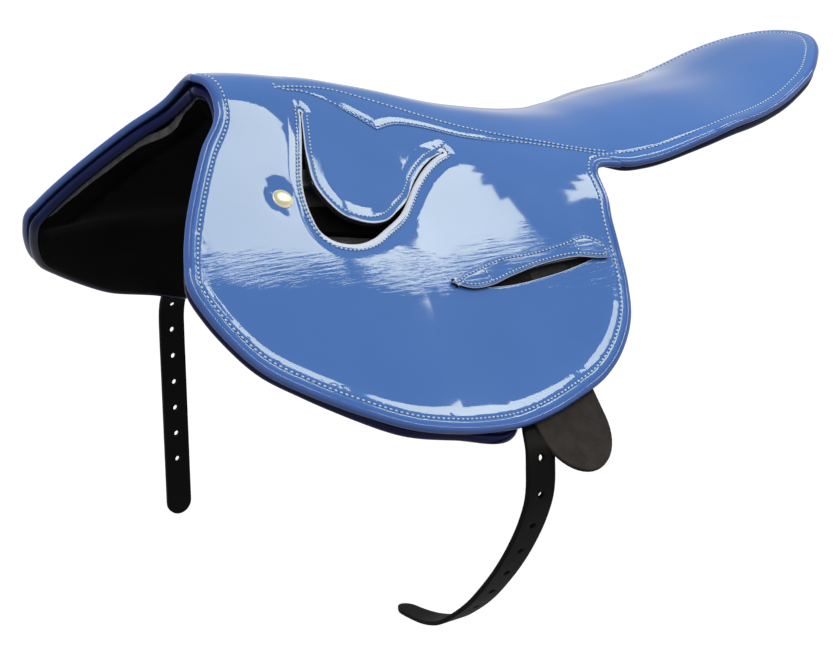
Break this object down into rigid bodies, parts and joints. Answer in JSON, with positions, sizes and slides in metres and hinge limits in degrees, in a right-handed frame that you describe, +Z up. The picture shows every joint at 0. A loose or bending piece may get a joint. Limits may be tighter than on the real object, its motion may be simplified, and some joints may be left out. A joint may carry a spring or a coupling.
{
  "type": "racing saddle",
  "caption": "Lightweight patent racing saddle with lifting side flaps and skirts, padded panels, a long tail and hanging girth straps.",
  "frame": {"origin": "under the channel of the lining, on the centre plane, where a stand or the horse's back carries the saddle", "axes": "+X from the pommel to the tail, +Y to the horse's off side, +Z up"},
  "size_m": [0.6058, 0.442, 0.384],
  "materials": {
    "blue_patent": "high-gloss patent",
    "dark_blue_patent": "high-gloss patent",
    "black_leather": "soft satin",
    "strap_leather": "satin",
    "brown_suede": "flesh side, matt",
    "polished_brass": "polished",
    "forged_steel": "brushed",
    "tree_laminate": "matt laminate",
    "grey_felt": "felt",
    "seat_foam": "soft foam",
    "linen_web": "woven web"
  },
  "bodies": {
    "saddle": {"girth_web": "linen_web", "head_plate": "forged_steel", "near_bar_rivet_front": "forged_steel", "near_bar_rivet_rear": "forged_steel", "near_buckle_guard": "brown_suede", "near_head_rivet_lower": "forged_steel", "near_head_rivet_upper": "forged_steel", "near_panel": "grey_felt", "near_stirrup_bar": "forged_steel", "near_strap_anchor": "strap_leather", "near_stud": "polished_brass", "off_bar_rivet_front": "forged_steel", "off_bar_rivet_rear": "forged_steel", "off_buckle_guard": "brown_suede", "off_head_rivet_lower": "forged_steel", "off_head_rivet_upper": "forged_steel", "off_panel": "grey_felt", "off_stirrup_bar": "forged_steel", "off_strap_anchor": "strap_leather", "off_stud": "polished_brass", "panel_binding": "dark_blue_patent", "panel_lining": "black_leather", "pommel_cover": "blue_patent", "pommel_pad": "seat_foam", "seat_cover": "blue_patent", "seat_foam": "seat_foam", "tail_binding": "dark_blue_patent", "tail_board": "tree_laminate", "tail_lining": "black_leather", "tail_pad": "grey_felt", "tree": "tree_laminate"},
    "near_flap": {"near_flap": "blue_patent", "near_keeper": "blue_patent"},
    "near_skirt": {"near_skirt": "blue_patent"},
    "near_girth_strap": {"near_girth_strap": "strap_leather"},
    "off_flap": {"off_flap": "blue_patent", "off_keeper": "blue_patent"},
    "off_skirt": {"off_skirt": "blue_patent"},
    "off_girth_strap": {"off_girth_strap": "strap_leather"}
  },
  "joints": [
    {"name": "near_flap_lift", "type": "hinge", "parent": "saddle", "child": "near_flap", "pos_m": [0.03, -0.1114, -0.0606], "axis": [-0.9996, -0.0208, 0.0208], "range_deg": [0, 70]},
    {"name": "near_skirt_lift", "type": "hinge", "parent": "saddle", "child": "near_skirt", "pos_m": [0.00198, -0.0424, 0.00101], "axis": [-0.9298, 0.1732, 0.3248], "range_deg": [0, 80]},
    {"name": "off_flap_lift", "type": "hinge", "parent": "saddle", "child": "off_flap", "pos_m": [0.03, 0.1114, -0.0606], "axis": [0.9996, -0.0208, -0.0208], "range_deg": [0, 70]},
    {"name": "off_skirt_lift", "type": "hinge", "parent": "saddle", "child": "off_skirt", "pos_m": [0.00198, 0.0424, 0.00101], "axis": [0.9298, 0.1732, -0.3248], "range_deg": [0, 80]},
    {"name": "near_girth_strap_swing", "type": "hinge", "parent": "saddle", "child": "near_girth_strap", "pos_m": [0.009, -0.2103, -0.193], "axis": [0, 1, 0], "range_deg": [-30, 30]},
    {"name": "off_girth_strap_swing", "type": "hinge", "parent": "saddle", "child": "off_girth_strap", "pos_m": [-0.012, 0.212, -0.191], "axis": [0, 1, 0], "range_deg": [-30, 30]}
  ]
}
